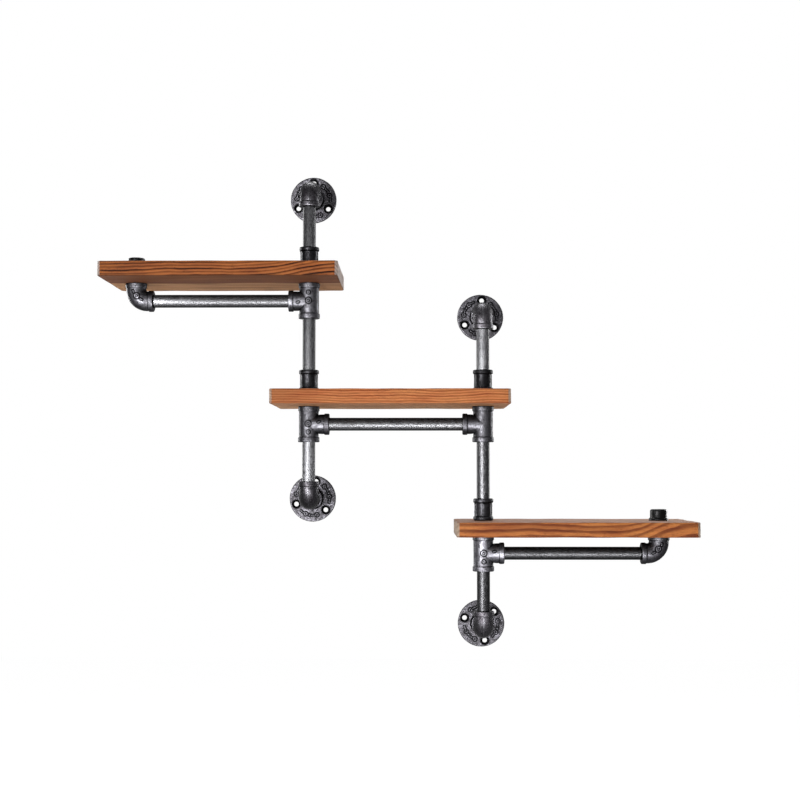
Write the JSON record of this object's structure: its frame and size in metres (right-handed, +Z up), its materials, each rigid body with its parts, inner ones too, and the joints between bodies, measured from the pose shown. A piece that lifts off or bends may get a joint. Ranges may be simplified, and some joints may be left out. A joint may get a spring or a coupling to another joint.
{
  "type": "wall shelving unit",
  "caption": "Wall-mounted stepped shelving unit of wooden boards on uprights of screwed iron pipe and fittings, held by round wall flanges.",
  "frame": {"origin": "centre of the upper left flange's back face, in the plane of the wall", "axes": "+X to the right along the boards, +Y into the wall, +Z up"},
  "size_m": [0.956, 0.2, 0.8045],
  "materials": {
    "pipe_steel": "dark grey drawn steel pipe under a thin clear coat, soft lengthwise sheen",
    "fitting_iron": "dark grey cast iron with a fine sandy grain, worn brighter on its bands",
    "flange_iron": "darker cast iron with a coarse sandy grain",
    "cap_iron": "near-black cast iron, low sheen",
    "pine_dark": "pine stained red-brown with strong dark growth lines, matt oil",
    "pine": "pine stained orange-brown with fine growth lines, matt oil"
  },
  "bodies": {
    "root": {"shelf_board_top": "pine_dark", "shelf_board_middle": "pine", "shelf_board_bottom": "pine", "rail_pipe_top": "pipe_steel", "rail_pipe_middle": "pipe_steel", "rail_pipe_bottom": "pipe_steel", "riser_pipe_top_left": "pipe_steel", "riser_pipe_middle_left": "pipe_steel", "riser_pipe_bottom_left": "pipe_steel", "riser_elbow_upper_left": "fitting_iron", "wall_nipple_upper_left": "pipe_steel", "wall_flange_upper_left": "flange_iron", "coupling_upper_left": "fitting_iron", "board_nipple_upper_left": "pipe_steel", "tee_upper_left": "fitting_iron", "riser_elbow_lower_left": "fitting_iron", "wall_nipple_lower_left": "pipe_steel", "wall_flange_lower_left": "flange_iron", "coupling_lower_left": "fitting_iron", "board_nipple_lower_left": "pipe_steel", "tee_lower_left": "fitting_iron", "riser_pipe_top_right": "pipe_steel", "riser_pipe_middle_right": "pipe_steel", "riser_pipe_bottom_right": "pipe_steel", "riser_elbow_upper_right": "fitting_iron", "wall_nipple_upper_right": "pipe_steel", "wall_flange_upper_right": "flange_iron", "coupling_upper_right": "fitting_iron", "board_nipple_upper_right": "pipe_steel", "tee_upper_right": "fitting_iron", "riser_elbow_lower_right": "fitting_iron", "wall_nipple_lower_right": "pipe_steel", "wall_flange_lower_right": "flange_iron", "coupling_lower_right": "fitting_iron", "board_nipple_lower_right": "pipe_steel", "tee_lower_right": "fitting_iron", "arm_elbow_top": "fitting_iron", "board_nipple_arm_top": "pipe_steel", "cap_top": "cap_iron", "arm_elbow_bottom": "fitting_iron", "board_nipple_arm_bottom": "pipe_steel", "cap_bottom": "cap_iron"}
  },
  "joints": []
}
